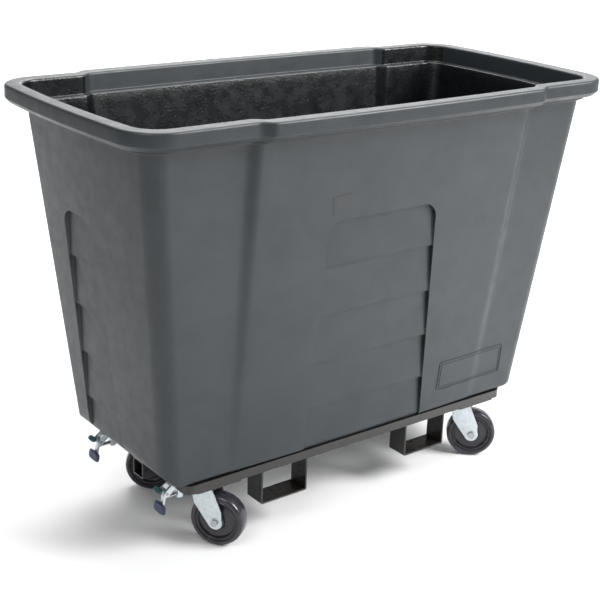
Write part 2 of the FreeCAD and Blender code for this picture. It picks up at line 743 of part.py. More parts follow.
def build_wheel(corner):
    """Solid moulded wheel with a rounded tread, a dished web and a hub, and its roller bearing."""
    body = new_body(f"wheel_{corner}", Placement(pivot(corner), Rotation(Z_AXIS, SWIVEL_ANGLE[corner])) *
                    Placement(Vector(dim("caster_trail"), 0, dim("wheel_radius")), Rotation()))
    tread, rim, web = "[wheel_radius]", "[wheel_radius] - 14", "[hub_radius]"
    face, hub = "[wheel_width] / 2", "[hub_width] / 2"
    bore = "[bearing_radius]"
    half = [(bore, hub), (web, hub), (f"{web} + 3", f"{face} - 7"), (f"{rim} - 5", f"{face} - 9"), (rim, face),
            (f"{tread} - 6", face), (f"{tread} - 1.5", f"{face} - 5"), (tread, f"{face} - 12")]
    profile = half + [(x, f"-({y})") for x, y in reversed(half)]
    sketch = polygon_sketch(body, profile, "XY_Plane")
    turned = body.newObject("PartDesign::Revolution", "Turned")
    turned.Profile = sketch
    turned.ReferenceAxis = (sketch, ["V_Axis"])
    turned.Angle = 360
    bearing = new_body(f"roller_bearing_{corner}", body.Placement)
    add_cylinder(bearing, "[bearing_radius]", "[hub_width]", ("0", "-[hub_width] / 2", "0"), axis="y")
    add_cylinder(bearing, "[sleeve_radius] + 0.06", "2 * [hub_width]", ("0", "-[hub_width]", "0"), axis="y",
                 cut=True)


def build_fasteners():
    """Equal fasteners, one node for each kind."""
    low = dim("caster_height") - dim("plate_thick")
    high = dim("caster_height") + dim("gusset_thick")
    hexagon, head_height = dim("plate_bolt_hex"), dim("plate_bolt_head_height")
    nut_height = dim("plate_nut_height")
    bolts, nuts = [], []
    for corner in CORNERS:
        for i in (-1, 1):
            for j in (-1, 1):
                centre = pivot(corner) + Vector(i * dim("plate_hole_x") / 2, j * dim("plate_hole_y") / 2, 0)
                head = hexagon_prism(hexagon, head_height, centre + Vector(0, 0, low - head_height), Z_AXIS)
                shank = Part.makeCylinder(dim("plate_bolt_radius"), high - low + nut_height + 3,
                                          centre + Vector(0, 0, low - 1))
                bolts.append(head.fuse(shank).removeSplitter())
                nut = hexagon_prism(hexagon, nut_height, centre + Vector(0, 0, high), Z_AXIS)
                nuts.append(nut.cut(shank))
    group_of("plate_bolts", bolts)
    group_of("plate_nuts", nuts)
    floor = dim("base_bottom") + dim("angle_leg")
    thick = dim("wall_thickness")
    under = floor - dim("angle_thick")
    nut_height = dim("tub_nut_height")
    tip = under - nut_height - 1.5
    bolts, nuts = [], []
    for point in tub_bolt_points():
        head = Part.makeCylinder(dim("tub_bolt_head_radius"), dim("tub_bolt_head_height"),
                                 point + Vector(0, 0, thick))
        shank = Part.makeCylinder(dim("tub_bolt_radius"), floor + thick + 1 - tip,
                                  Vector(point.x, point.y, tip))
        bolts.append(head.fuse(shank).removeSplitter())
        nut = hexagon_prism(dim("tub_nut_hex"), nut_height,
                            Vector(point.x, point.y, under - nut_height), Z_AXIS)
        nuts.append(nut.cut(shank))
    group_of("tub_bolts", bolts)
    group_of("tub_nuts", nuts)


# ---------------------------------------------------------------- foot pedals
PEDAL_SIDES = {"near": -1, "far": 1}
# corners of the flat parts, as distances from the pedal's pin in X and Z
CHEEK_NOSE = [(-2, 10), (-9, 3), (-8, -6), (3, -9)]
LEVER_OUTLINE = [(-3, -3), (-18, 8), (-15, 12), (4, 5)]
ARM_OUTLINE = [(-5, -4), (3, -6), (-6, -48), (-11.5, -46)]


def about_pin(points):
    """Sketch points from distances to the pedal's pin."""
    return [(f"-[pedal_pivot_x] + ({x})", f"[pedal_pivot_z] + ({z})") for x, z in points]


def pedal_place(side):
    return Placement(Vector(0, PEDAL_SIDES[side] * dim("caster_offset_y"), 0), Rotation())


def build_pedal_bracket(side):
    """Two cheeks on a foot that is welded to the end rail; they carry the pedal's pin."""
    body = new_body(f"pedal_bracket_{side}", pedal_place(side))
    rail = "-[base_length] / 2"
    gap = "[bracket_gap] / 2"
    add_box(body, ("[bracket_plate]", "[bracket_gap] + 2 * [bracket_plate]", "[bracket_foot_height]"),
            (f"{rail} - [bracket_plate]", f"-{gap} - [bracket_plate]", "[base_bottom]"))
    cheek = [(rail, "[base_bottom]"), (rail, "[base_bottom] + [bracket_foot_height] - 4")]
    cheek += about_pin(CHEEK_NOSE)
    for sign in (-1, 1):
        start = f"{gap}" if sign > 0 else f"-{gap} - [bracket_plate]"
        sketch = polygon_sketch(body, cheek, "XZ_Plane", offset=start)
        add_pad(body, sketch, "[bracket_plate]")
    add_cylinder(body, "[pedal_pin_radius]", "80", ("-[pedal_pivot_x]", "-40", "[pedal_pivot_z]"), axis="y",
                 cut=True)
    add_box(body, ("32", "[bracket_gap]", "[bracket_plate]"),
            (f"{rail} - [bracket_plate]", f"-{gap}", "[base_bottom] - [bracket_plate]"))
    add_box(body, ("[lock_guide_length]", "[lock_guide_width]",
                   "[base_bottom] - [lock_z] + [lock_guide_width] / 2 - [bracket_plate]"),
            (f"{rail} + [lock_guide_offset]", "-[lock_guide_width] / 2", "[lock_z] - [lock_guide_width] / 2"))
    add_cylinder(body, "[lock_guide_hole]", "80", (f"{rail} - 20", "0", "[lock_z]"), axis="x", cut=True)


def build_pedal_pins():
    solids = []
    reach = dim("bracket_gap") / 2 + dim("bracket_plate")
    for side, sign in PEDAL_SIDES.items():
        start = Vector(-dim("pedal_pivot_x"), sign * dim("caster_offset_y") - reach - 2, dim("pedal_pivot_z"))
        solids.append(Part.makeCylinder(dim("pedal_pin_radius"), 2 * reach + 4, start, Y_AXIS))
    group_of("pedal_pins", solids)


def build_pedal(side):
    """Rocking lever: an upper release pad, a hub on the pin, and an arm down to the foot pad."""
    body = new_body(f"pedal_arm_{side}", pedal_place(side))
    add_cylinder(body, "[pedal_hub_radius]", "[bracket_gap] - 1", ("-[pedal_pivot_x]", "-([bracket_gap] - 1) / 2",
                                                   "[pedal_pivot_z]"), axis="y")
    for points, width in ((LEVER_OUTLINE, "[pedal_lever_width]"), (ARM_OUTLINE, "[pedal_arm_width]")):
        sketch = polygon_sketch(body, about_pin(points), "XZ_Plane")
        add_pad(body, sketch, width, midplane=True)
    add_cylinder(body, "[pedal_pin_hole]", "80", ("-[pedal_pivot_x]", "-40", "[pedal_pivot_z]"),
                 axis="y", cut=True)

    for name in ("foot_pad", "release_pad"):
        centre = Vector(-dim("pedal_pivot_x") - dim(f"{name}_out"), 0,
                        dim("pedal_pivot_z") + dim(f"{name}_rise"))
        place = pedal_place(side) * Placement(centre, Rotation(Y_AXIS, dim(f"{name}_lean")))
        pad = new_body(f"{name}_{side}", place)
        length, height = f"[{name}_length]", f"[{name}_height]"
        block = add_box(pad, ("[pad_thick]", length, height),
                        ("-[pad_thick] / 2", f"-{length} / 2", f"-{height} / 2"))
        round_edges(pad, block, f"{height} * 0.45", runs_along(X_AXIS))


def build_lock_bolt(side):
    """Plunger that the pedal's arm drives towards the swivel raceway."""
    body = new_body(f"lock_bolt_{side}", pedal_place(side))
    tip = "-[caster_offset_x] - [lock_stop_radius] - [lock_travel]"
    tail = "-[pedal_pivot_x] + 2.45"
    add_cylinder(body, "[lock_radius]", f"({tip}) - ({tail})", (tail, "0", "[lock_z]"), axis="x")


build_tub()
build_side_rails()
build_end_rails()
build_cross_bars()
build_stirrups()
build_receiver()
build_gussets()
for corner_name in CORNERS:
    build_caster_plate(corner_name)
    build_fork(corner_name)
    build_axle(corner_name)
    build_wheel(corner_name)
build_kingpins()
build_fasteners()
for side_name in PEDAL_SIDES:
    build_pedal_bracket(side_name)
    build_pedal(side_name)
    build_lock_bolt(side_name)
build_pedal_pins()
doc.recompute()

# ---------------------------------------------------------------- checks and export
for item in doc.Objects:
    if {"Invalid", "Error"} & set(item.State):
        raise RuntimeError(f"{item.Name} ({item.Label}): {item.State}")
for part in SUBPARTS:
    if part.Shape.isNull() or not part.Shape.isValid():
        raise RuntimeError(f"{part.Label} has no valid shape")
os.makedirs("parts", exist_ok=True)
for part in SUBPARTS:
    part.Shape.exportStep(f"parts/{part.Label}.step")
print(len(SUBPARTS), "nodes written")
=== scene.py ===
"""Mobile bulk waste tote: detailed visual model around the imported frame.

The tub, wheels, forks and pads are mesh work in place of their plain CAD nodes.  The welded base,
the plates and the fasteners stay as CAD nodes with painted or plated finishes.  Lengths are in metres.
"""

import json
import math

import bmesh
import bpy
import numpy as np
from mathutils import Matrix, Vector


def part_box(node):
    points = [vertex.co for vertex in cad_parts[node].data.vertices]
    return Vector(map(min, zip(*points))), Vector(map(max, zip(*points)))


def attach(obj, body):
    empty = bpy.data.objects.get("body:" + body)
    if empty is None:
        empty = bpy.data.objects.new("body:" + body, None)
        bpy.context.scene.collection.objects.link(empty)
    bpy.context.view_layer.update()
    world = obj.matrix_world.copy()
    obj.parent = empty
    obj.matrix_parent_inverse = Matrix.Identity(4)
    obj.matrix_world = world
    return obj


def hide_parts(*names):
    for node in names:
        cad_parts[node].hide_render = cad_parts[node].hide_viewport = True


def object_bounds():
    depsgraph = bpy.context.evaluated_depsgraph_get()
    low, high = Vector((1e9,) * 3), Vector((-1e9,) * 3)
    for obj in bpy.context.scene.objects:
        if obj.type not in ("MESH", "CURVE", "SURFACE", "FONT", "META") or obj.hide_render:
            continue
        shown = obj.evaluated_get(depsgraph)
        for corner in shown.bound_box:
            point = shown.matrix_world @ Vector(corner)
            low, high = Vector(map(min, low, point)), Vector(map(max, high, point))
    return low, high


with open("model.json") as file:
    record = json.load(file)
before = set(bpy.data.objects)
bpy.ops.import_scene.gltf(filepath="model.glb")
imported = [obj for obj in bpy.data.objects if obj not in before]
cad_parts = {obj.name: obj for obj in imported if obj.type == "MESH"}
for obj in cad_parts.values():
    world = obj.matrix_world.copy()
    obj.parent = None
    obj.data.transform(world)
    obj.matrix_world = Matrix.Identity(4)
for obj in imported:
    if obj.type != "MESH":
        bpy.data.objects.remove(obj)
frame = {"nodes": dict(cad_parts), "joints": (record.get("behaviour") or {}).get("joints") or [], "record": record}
CAD_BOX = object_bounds()
NODES = frame["nodes"]
JOINTS = {joint["name"]: joint for joint in frame["joints"]}
MM = 0.001


# ---------------------------------------------------------------- mesh helpers
def mesh_object(name, verts, faces, sharp_angle=None):
    """Object from vertices and faces, with its normals turned outwards."""
    mesh = bpy.data.meshes.new(name)
    mesh.from_pydata([tuple(v) for v in verts], [], faces)
    bm = bmesh.new()
    bm.from_mesh(mesh)
    bmesh.ops.remove_doubles(bm, verts=bm.verts, dist=2e-5)
    bmesh.ops.dissolve_degenerate(bm, edges=bm.edges, dist=1e-6)
    bmesh.ops.recalc_face_normals(bm, faces=bm.faces)
    bm.to_mesh(mesh)
    bm.free()
    for polygon in mesh.polygons:
        polygon.use_smooth = True
    if sharp_angle is not None:
        mesh.set_sharp_from_angle(angle=math.radians(sharp_angle))
    obj = bpy.data.objects.new(name, mesh)
    bpy.context.scene.collection.objects.link(obj)
    return obj


def joined(name, parts):
    """One object from several, with their transforms and modifiers applied."""
    depsgraph = bpy.context.evaluated_depsgraph_get()
    bm = bmesh.new()
    for part in parts:
        mesh = bpy.data.meshes.new_from_object(part.evaluated_get(depsgraph))
        mesh.transform(part.matrix_world)
        bm.from_mesh(mesh)
        bpy.data.meshes.remove(mesh)
    mesh = bpy.data.meshes.new(name)
    bm.to_mesh(mesh)
    bm.free()
    for part in parts:
        bpy.data.objects.remove(part)
    for polygon in mesh.polygons:
        polygon.use_smooth = True
    mesh.set_sharp_from_angle(angle=math.radians(32))
    obj = bpy.data.objects.new(name, mesh)
    bpy.context.scene.collection.objects.link(obj)
    return obj


def grid_faces(rows, columns, wrap_rows=False, wrap_columns=True):
    """Quads of a grid of vertices stored row by row."""
    faces = []
    for i in range(rows if wrap_rows else rows - 1):
        for j in range(columns if wrap_columns else columns - 1):
            a = i * columns + j
            b = i * columns + (j + 1) % columns
            below = ((i + 1) % rows) * columns
            faces.append((a, b, below + (j + 1) % columns, below + j))
    return faces


def rounded_path(points, radii, segments=5):
    """Polyline through points whose corners are arcs of the given radii; radius 0 leaves a corner sharp."""
    path = []
    count = len(points)
    for index, (point, radius) in enumerate(zip(points, radii)):
        here = Vector(point)
        if radius <= 0 or index in (0, count - 1):
            path.append(here)
            continue
        before, after = Vector(points[index - 1]) - here, Vector(points[index + 1]) - here
        half_angle = before.angle(after) / 2
        reach = min(radius / math.tan(half_angle), 0.48 * before.length, 0.48 * after.length)
        start, end = here + before.normalized() * reach, here + after.normalized() * reach
        centre = here + (before.normalized() + after.normalized()).normalized() * reach / math.cos(half_angle)
        for k in range(segments + 1):
            blend = start.lerp(end, k / segments) - centre
            path.append(centre + blend.normalized() * (start - centre).length)
    return [tuple(p) for p in path]


def lathe(name, profile, steps=96, axis="y"):
    """Closed ring turned from a closed (radius, height) profile about an axis through the origin."""
    verts = []
    for k in range(steps):
        angle = 2 * math.pi * k / steps
        for radius, height in profile:
            across, up = radius * math.cos(angle), radius * math.sin(angle)
            verts.append((across, height, up) if axis == "y" else (across, up, height))
    return mesh_object(name, verts, grid_faces(steps, len(profile), True, True), sharp_angle=34)


def plate(name, outline, thickness, bevel=0.0008, holes=(), segments=2):
    """Flat plate in the XZ plane from y = 0 to y = thickness, with round holes and softened edges.

    holes are (x, z, radius).
    """
    curve = bpy.data.curves.new(name, "CURVE")
    curve.dimensions = "2D"
    curve.fill_mode = "BOTH"
    curve.extrude = thickness / 2 - bevel
    curve.bevel_depth = bevel
    curve.bevel_resolution = segments
    curve.offset = -bevel
    loops = [outline]
    for x, z, radius in holes:
        loops.append([(x + radius * math.cos(a), z + radius * math.sin(a))
                      for a in np.linspace(0, 2 * math.pi, 28, endpoint=False)])
    for loop in loops:
        spline = curve.splines.new("POLY")
        spline.points.add(len(loop) - 1)
        for point, (x, z) in zip(spline.points, loop):
            point.co = (x, z, 0, 1)
        spline.use_cyclic_u = True
    source = bpy.data.objects.new(name + "_curve", curve)
    bpy.context.scene.collection.objects.link(source)
    depsgraph = bpy.context.evaluated_depsgraph_get()
    mesh = bpy.data.meshes.new_from_object(source.evaluated_get(depsgraph))
    bpy.data.objects.remove(source)
    mesh.transform(Matrix.Translation((0, thickness / 2, 0)) @ Matrix.Rotation(math.radians(90), 4, "X"))
    bm = bmesh.new()
    bm.from_mesh(mesh)
    bmesh.ops.remove_doubles(bm, verts=bm.verts, dist=1e-6)
    bmesh.ops.recalc_face_normals(bm, faces=bm.faces)
    bm.to_mesh(mesh)
    bm.free()
    for polygon in mesh.polygons:
        polygon.use_smooth = True
    mesh.set_sharp_from_angle(angle=math.radians(35))
    obj = bpy.data.objects.new(name, mesh)
    bpy.context.scene.collection.objects.link(obj)
    return obj


def place(obj, matrix):
    """Moves the mesh itself, so that the object stays at the origin."""
    obj.data.transform(matrix)
    obj.data.update()
    return obj


# ---------------------------------------------------------------- materials
def node_material(name):
    material = bpy.data.materials.new(name)
    material.use_nodes = True
    tree = material.node_tree
    shader = tree.nodes["Principled BSDF"]
    return material, tree, shader


def add_node(tree, kind, **inputs):
    """Node with some of its inputs set; a key may be an input's index."""
    node = tree.nodes.new(kind)
    for key, value in inputs.items():
        socket = node.inputs[int(key[1:])] if key[0] == "_" else node.inputs[key]
        socket.default_value = value
    return node


def noise(tree, coords, scale, detail=4.0, roughness=0.55, distortion=0.0):
    node = add_node(tree, "ShaderNodeTexNoise", Scale=scale, Detail=detail, Roughness=roughness,
                    Distortion=distortion)
    tree.links.new(coords, node.inputs["Vector"])
    return node.outputs["Fac"]


def ramp(tree, value, stops):
    """Colour ramp through (position, grey or colour) stops."""
    node = tree.nodes.new("ShaderNodeValToRGB")
    tree.links.new(value, node.inputs["Fac"])
    elements = node.color_ramp.elements
    while len(elements) < len(stops):
        elements.new(0.5)
    for element, (position, colour) in zip(elements, stops):
        element.position = position
        rgb = colour if isinstance(colour, tuple) else (colour,) * 3
        element.color = (*rgb, 1)
    return node.outputs["Color"]


def mix(tree, factor, a, b, blend="MIX"):
    """Colour mix; factor, a and b are sockets or values."""
    node = tree.nodes.new("ShaderNodeMix")
    node.data_type = "RGBA"
    node.blend_type = blend
    for socket, value in ((node.inputs[0], factor), (node.inputs[6], a), (node.inputs[7], b)):
        if isinstance(value, bpy.types.NodeSocket):
            tree.links.new(value, socket)
        elif isinstance(value, tuple):
            socket.default_value = (*value, 1)
        else:
            socket.default_value = value
    return node.outputs[2]


def arithmetic(tree, operation, a, b):
    node = tree.nodes.new("ShaderNodeMath")
    node.operation = operation
    for socket, value in ((node.inputs[0], a), (node.inputs[1], b)):
        if isinstance(value, bpy.types.NodeSocket):
            tree.links.new(value, socket)
        else:
            socket.default_value = value
    return node.outputs[0]


def bumped(tree, shader, layers):
    """Stacks bump layers of (height socket, strength, distance)."""
    normal = None
    for height, strength, distance in layers:
        bump = add_node(tree, "ShaderNodeBump", Strength=strength, Distance=distance)
        tree.links.new(height, bump.inputs["Height"])
        if normal is not None:
            tree.links.new(normal, bump.inputs["Normal"])
        normal = bump.outputs["Normal"]
    tree.links.new(normal, shader.inputs["Normal"])


def object_coords(tree):
    return tree.nodes.new("ShaderNodeTexCoord").outputs["Object"]


def worn_mask(tree, coords, scale, low, high):
    """Mask of scattered rubbed patches."""
    return ramp(tree, noise(tree, coords, scale, 7.0, 0.7, 0.5), [(low, 0.0), (high, 1.0)])


def tub_material(name, dark, light, roughness, grain, orange_peel):
    """Rotationally moulded polyethylene: fine grain, soft mottling and faint scuffs."""
    material, tree, shader = node_material(name)
    coords = object_coords(tree)
    mottle = noise(tree, coords, 7.0, 5.0, 0.6, 0.4)
    speckle = noise(tree, coords, 420.0, 2.0, 0.6)
    colour = mix(tree, ramp(tree, mottle, [(0.35, 0.0), (0.68, 1.0)]), dark, light)
    colour = mix(tree, 0.25, colour, ramp(tree, speckle, [(0.3, dark), (0.72, light)]))
    scuffs = tree.nodes.new("ShaderNodeMapping")
    scuffs.inputs["Scale"].default_value = (9.0, 9.0, 34.0)
    scuffs.inputs["Rotation"].default_value = (0.2, 0.35, 0.1)
    tree.links.new(coords, scuffs.inputs["Vector"])
    scratch = ramp(tree, noise(tree, scuffs.outputs[0], 5.0, 8.0, 0.72, 1.2),
                   [(0.66, 0.0), (0.74, 1.0)])
    colour = mix(tree, arithmetic(tree, "MULTIPLY", scratch, 0.10), colour, (0.09, 0.095, 0.10))
    tree.links.new(colour, shader.inputs["Base Color"])
    spread = ramp(tree, noise(tree, coords, 26.0, 4.0, 0.6),
                  [(0.3, roughness - 0.05), (0.7, roughness + 0.07)])
    tree.links.new(spread, shader.inputs["Roughness"])
    fine = noise(tree, coords, 900.0, 2.0, 0.5)
    peel = noise(tree, coords, 150.0, 3.0, 0.5)
    wave = noise(tree, coords, 9.0, 2.0, 0.5)
    bumped(tree, shader, [(wave, 0.12, 0.004), (peel, orange_peel, 0.0012), (fine, grain, 0.0005)])
    return material


def paint_material(name, colour, roughness, chip):
    """Sprayed enamel over steel: slight orange peel, faint dust and small chips."""
    material, tree, shader = node_material(name)
    coords = object_coords(tree)
    patch = ramp(tree, noise(tree, coords, 22.0, 5.0, 0.6), [(0.35, 0.0), (0.7, 1.0)])
    paler = tuple(c * 1.5 + 0.003 for c in colour)
    base = mix(tree, patch, colour, paler)
    chips = worn_mask(tree, coords, 55.0, 0.66, 0.74)
    base = mix(tree, arithmetic(tree, "MULTIPLY", chips, chip), base, (0.16, 0.15, 0.14))
    tree.links.new(base, shader.inputs["Base Color"])
    spread = ramp(tree, noise(tree, coords, 60.0, 3.0, 0.6),
                  [(0.3, roughness - 0.06), (0.7, roughness + 0.10)])
    tree.links.new(spread, shader.inputs["Roughness"])
    shader.inputs["Coat Weight"].default_value = 0.25
    shader.inputs["Coat Roughness"].default_value = 0.12
    bumped(tree, shader, [(noise(tree, coords, 260.0, 2.0, 0.5), 0.12, 0.0006)])
    return material


def zinc_material(name, colour, roughness):
    """Bright zinc plate: bluish, with faint cloudy passivation and fine rolling marks."""
    material, tree, shader = node_material(name)
    coords = object_coords(tree)
    cloud = noise(tree, coords, 38.0, 5.0, 0.65, 0.6)
    warm = tuple(c * f for c, f in zip(colour, (0.98, 0.96, 0.90)))
    base = mix(tree, ramp(tree, cloud, [(0.32, 0.0), (0.7, 1.0)]), colour, warm)
    stain = ramp(tree, noise(tree, coords, 95.0, 6.0, 0.7), [(0.50, 0.0), (0.66, 1.0)])
    base = mix(tree, arithmetic(tree, "MULTIPLY", stain, 0.42), base, (0.30, 0.33, 0.36))
    tree.links.new(base, shader.inputs["Base Color"])
    shader.inputs["Metallic"].default_value = 0.85
    spread = ramp(tree, cloud, [(0.3, roughness - 0.07), (0.72, roughness + 0.12)])
    tree.links.new(spread, shader.inputs["Roughness"])
    rolled = tree.nodes.new("ShaderNodeMapping")
    rolled.inputs["Scale"].default_value = (1.0, 1.0, 14.0)
    tree.links.new(coords, rolled.inputs["Vector"])
    bumped(tree, shader, [(noise(tree, coords, 70.0, 3.0, 0.6), 0.10, 0.0006),
                          (noise(tree, rolled.outputs[0], 160.0, 2.0, 0.5), 0.06, 0.0003)])
    return material


def moulded_material(name, colour, roughness, marks=0.0):
    """Smooth injection-moulded plastic with slight flow mottling and scuffed high spots."""
    material, tree, shader = node_material(name)
    coords = object_coords(tree)
    flow = ramp(tree, noise(tree, coords, 18.0, 4.0, 0.6, 0.8), [(0.35, 0.0), (0.7, 1.0)])
    paler = tuple(min(c * 1.35 + 0.006, 1) for c in colour)
    base = mix(tree, flow, colour, paler)
    rub = ramp(tree, noise(tree, coords, 120.0, 6.0, 0.7), [(0.56, 0.0), (0.72, 1.0)])
    base = mix(tree, arithmetic(tree, "MULTIPLY", rub, marks), base, (0.22, 0.21, 0.21))
    tree.links.new(base, shader.inputs["Base Color"])
    spread = ramp(tree, noise(tree, coords, 45.0, 4.0, 0.6),
                  [(0.3, roughness - 0.06), (0.7, roughness + 0.10)])
    tree.links.new(spread, shader.inputs["Roughness"])
    shader.inputs["IOR"].default_value = 1.5
    bumped(tree, shader, [(noise(tree, coords, 340.0, 2.0, 0.5), 0.10, 0.0004)])
    return material


def floor_material(name, colour, roughness):
    """Matt painted studio floor, almost even in tone."""
    material, tree, shader = node_material(name)
    coords = object_coords(tree)
    cloud = ramp(tree, noise(tree, coords, 1.2, 3.0, 0.5), [(0.3, 0.0), (0.7, 1.0)])
    tree.links.new(mix(tree, cloud, colour, tuple(c * 0.985 for c in colour)), shader.inputs["Base Color"])
    spread = ramp(tree, noise(tree, coords, 3.0, 3.0, 0.5),
                  [(0.3, roughness - 0.04), (0.7, roughness + 0.04)])
    tree.links.new(spread, shader.inputs["Roughness"])
    shader.inputs["Specular IOR Level"].default_value = 0.25
    bumped(tree, shader, [(noise(tree, coords, 220.0, 2.0, 0.5), 0.03, 0.0003)])
    return material


TUB_OUTSIDE = tub_material("tub_outside", (0.014, 0.0185, 0.0215), (0.022, 0.028, 0.032), 0.42, 0.30, 0.14)
# inside skin: the same polyethylene as outside, with its colour made far darker to paint the shade inside the tub;
# its roughness and orange peel differ
TUB_INSIDE_PAINTED_SHADE = tub_material("tub_inside_painted_shade", (0.0022, 0.0030, 0.0036), (0.0040, 0.0052, 0.0060), 0.26, 0.20, 0.55)
TUB_PATCH = tub_material("tub_patch", (0.010, 0.012, 0.014), (0.013, 0.0155, 0.018), 0.30, 0.10, 0.10)
BASE_PAINT = paint_material("base_paint", (0.0075, 0.0062, 0.0055), 0.30, 0.35)
ZINC = zinc_material("zinc_plate", (0.60, 0.66, 0.71), 0.30)
STEEL = zinc_material("fastener_steel", (0.42, 0.44, 0.47), 0.24)
WHEEL = moulded_material("wheel_plastic", (0.020, 0.018, 0.024), 0.17, 0.10)
NAVY = moulded_material("foot_pad_plastic", (0.010, 0.018, 0.060), 0.36, 0.08)
TEAL = moulded_material("release_pad_plastic", (0.010, 0.060, 0.066), 0.36, 0.08)
FLOOR = floor_material("studio_floor", (0.87, 0.87, 0.87), 0.70)


# ---------------------------------------------------------------- tub
HEIGHT = CAD_BOX[1][2]
RAIL_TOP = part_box("side_rail_near")[1].z
RIM_FLOOR = HEIGHT - 54 * MM
WALL = 7 * MM
RIM_OUT = 53 * MM
RIM_IN = 9 * MM
RIM_FACE = 35 * MM
RIM_LIP = 12 * MM
RIM_CROWN = 12 * MM
FOOT_ROUND = 16 * MM
INNER_FOOT_ROUND = 20 * MM
# wall line at the rim and at its foot, and where each side's middle panel starts and ends
TOP = {"a": 732, "b": 326, "corner": 56, "end_bow": 18, "side_bow": 7, "step": 22,
       (-1, -1): 450, (1, -1): 490, (-1, 1): 530, (1, 1): 515}
FOOT = {"a": 640, "b": 249, "corner": 50, "end_bow": 8, "side_bow": 4, "step": 2,
        (-1, -1): 441, (1, -1): 440, (-1, 1): 480, (1, 1): 460}
PANEL_RUN = 24 * MM
# recesses: (reach left at top, left at foot, right at top, right at foot), measured from outside the wall
RECESS_TOP = 906 * MM
RECESS_STEPS = [(777 - 141 * k) * MM for k in range(4)]
RECESS_CORNER = 44 * MM
SIDE_RECESS = (205 * MM, 203 * MM, 166 * MM, 231 * MM)
END_RECESS = (18 * MM, 46 * MM, 130 * MM, 150 * MM)
RECESS_DEPTH = 12.5 * MM
BOARD_LIFT = 7.5 * MM
# large round between the left end wall and the floor
LEFT_FOOT_ROUND = 90 * MM
LEFT_FOOT_CENTRE = (-567.9 * MM, RAIL_TOP + LEFT_FOOT_ROUND)
RECESS_SIDE = 3.0 * MM


def level(z):
    """Wall line's sizes at height z."""
    share = min(max((z - RAIL_TOP) / (RIM_FLOOR - RAIL_TOP), 0), 1)
    return {key: (FOOT[key] + (TOP[key] - FOOT[key]) * share) * MM for key in TOP}


def recess_reach(edges, z, side):
    """How far a recess reaches to one side at height z; it narrows round the top corner."""
    top, foot = (edges[0], edges[1]) if side < 0 else (edges[2], edges[3])
    share = min(max((RECESS_TOP - z) / (RECESS_TOP - RAIL_TOP), 0), 1)
    reach = top + (foot - top) * share
    up = min(max(z - (RECESS_TOP - RECESS_CORNER), 0), RECESS_CORNER)
    return reach - RECESS_CORNER + math.sqrt(max(RECESS_CORNER ** 2 - up ** 2, 0))


def smooth(t):
    t = min(max(t, 0.0), 1.0)
    return t * t * (3 - 2 * t)


def recess_depth(z):
    """Depth of the recess's face at height z: each board leans out downwards, then steps back in."""
    lip = smooth((RECESS_TOP - z) / (5 * MM))
    bounds = [RECESS_TOP] + RECESS_STEPS + [RAIL_TOP - 20 * MM]
    for head, foot in zip(bounds, bounds[1:]):
        if z > foot or foot == bounds[-1]:
            share = (head - z) / (head - foot)
            entry = smooth((head - z) / (2.5 * MM)) if head != RECESS_TOP else 1.0
            lean = RECESS_DEPTH - BOARD_LIFT * share
            before = RECESS_DEPTH - BOARD_LIFT
            return lip * (before + (lean - before) * entry)
    return 0.0


def side_columns(left, right, recess_left, recess_right):
    """Positions along a flat stretch that holds a recess, dense at the recess's edges."""
    near_edge = np.array([0.0, 0.8, 1.5, 2.2, 3.0, 7.0, 18.0]) * MM
    outside = np.array([1.2, 4.0, 10.0, 22.0]) * MM
    left_out = np.linspace(left, -recess_left - outside[-1], 9)[:-1]
    right_out = np.linspace(recess_right + outside[-1], right, 9)[1:]
    middle = np.linspace(-recess_left + 30 * MM, recess_right - 30 * MM, 13)
    return np.concatenate([left_out, -recess_left - outside[::-1], -recess_left + near_edge, middle,
                           recess_right - near_edge[::-1], recess_right + outside, right_out])


def arc_points(centre, radius, start, end, count):
    angles = np.linspace(start, end, count)
    return centre[0] + radius * np.cos(angles), centre[1] + radius * np.sin(angles)


